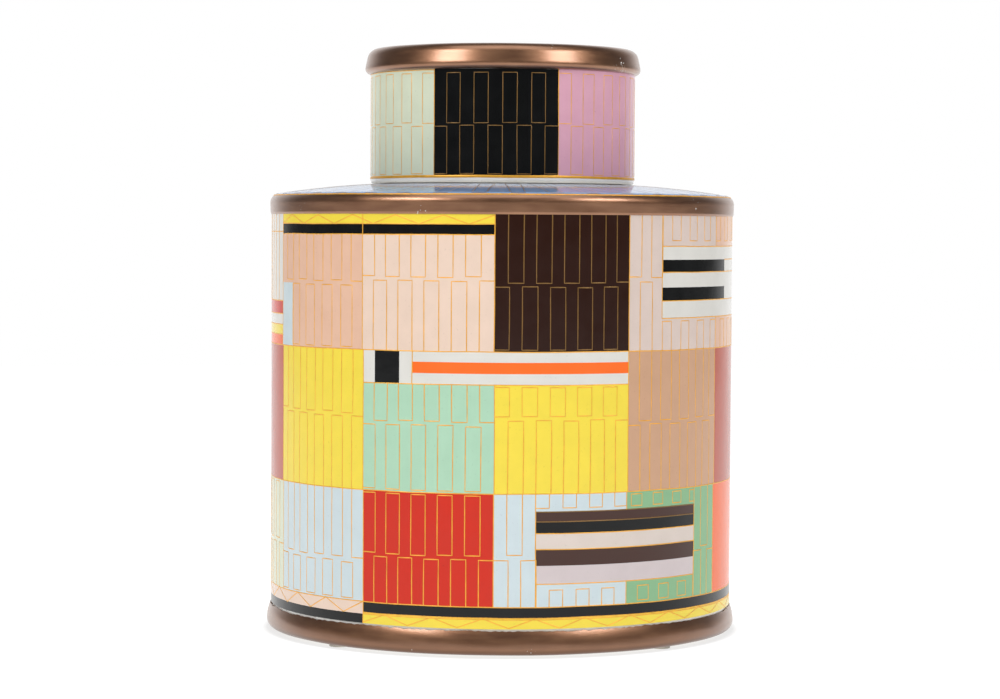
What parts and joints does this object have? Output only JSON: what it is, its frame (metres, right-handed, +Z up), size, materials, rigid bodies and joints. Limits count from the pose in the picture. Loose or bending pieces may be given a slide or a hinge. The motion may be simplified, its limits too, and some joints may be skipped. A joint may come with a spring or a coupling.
{
  "type": "lidded coffee canister",
  "caption": "Round porcelain coffee canister with a domed shoulder, short neck, lift-off cap, bronze lustre bands and a colour-block enamel pattern with gold lines.",
  "frame": {"origin": "centre of the base, on the surface that the canister stands on", "axes": "+Z up along the canister's axis, -Y towards the front of the pattern"},
  "size_m": [0.2022, 0.2022, 0.2508],
  "materials": {
    "white_porcelain": "clear gloss glaze",
    "bronze_lustre": "satin bronze lustre, fired on",
    "enamel_transfer": "gloss overglaze enamel with gold lines",
    "blue_enamel": "gloss overglaze enamel with gold lines",
    "silicone": "translucent white, matt",
    "felt": "pressed felt"
  },
  "bodies": {
    "jar": {"jar_body": "white_porcelain", "foot_band": "bronze_lustre", "shoulder_band": "bronze_lustre", "wall_transfer": "enamel_transfer", "shoulder_transfer": "blue_enamel", "foot_pad_1": "felt", "foot_pad_2": "felt", "foot_pad_3": "felt", "foot_pad_4": "felt"},
    "seal": {"neck_seal": "silicone"},
    "lid": {"lid_shell": "white_porcelain", "lid_rim_band": "bronze_lustre", "lid_transfer": "enamel_transfer"}
  },
  "joints": [
    {"name": "lid_turn", "type": "hinge", "parent": "jar", "child": "seal", "pos_m": [0, 0, 0.2104], "axis": [0, 0, 1], "continuous": true},
    {"name": "lid_lift", "type": "slide", "parent": "seal", "child": "lid", "axis": [0, 0, 1], "range_m": [0, 0.045]}
  ]
}
